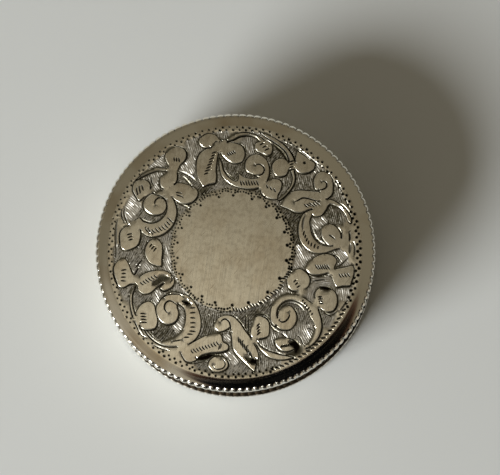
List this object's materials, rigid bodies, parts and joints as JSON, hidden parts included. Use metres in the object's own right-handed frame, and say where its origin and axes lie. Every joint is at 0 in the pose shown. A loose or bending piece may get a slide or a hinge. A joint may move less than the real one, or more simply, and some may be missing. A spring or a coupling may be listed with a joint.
{
  "type": "pyx",
  "caption": "Small round silver pyx: a drum-shaped box with a slip-on lid engraved with leaf scrolls, milled wire round its rim and foot, and an inner collar that holds the lid.",
  "frame": {"origin": "centre of the base plate's underside, on the surface that the box stands on", "axes": "+Z up the axis of the box, the way the lid lifts; +X to the right of the picture, +Y up it"},
  "size_m": [0.046, 0.046, 0.0146],
  "materials": {
    "engraved_silver": "hand-engraved sterling silver, worn bright on the figures and darkened in the cuts",
    "wall_silver": "polished sterling silver with fine handling scratches",
    "milled_silver": "milled sterling silver wire, bright ridges and tarnished grooves",
    "base_silver": "polished sterling silver, scuffed underneath and gilt inside",
    "collar_gilt": "sterling silver, thinly gilt and rubbed by the lid"
  },
  "bodies": {
    "box": {"base_plate": "base_silver", "body_wall": "wall_silver", "bezel_collar": "collar_gilt", "base_milled_wire": "milled_silver"},
    "lid": {"lid_wall": "wall_silver", "lid_plate": "engraved_silver", "lid_milled_wire": "milled_silver"}
  },
  "joints": [
    {"name": "lid_lift", "type": "slide", "parent": "box", "child": "lid", "axis": [0, 0, 1], "range_m": [0, 0.025]}
  ]
}
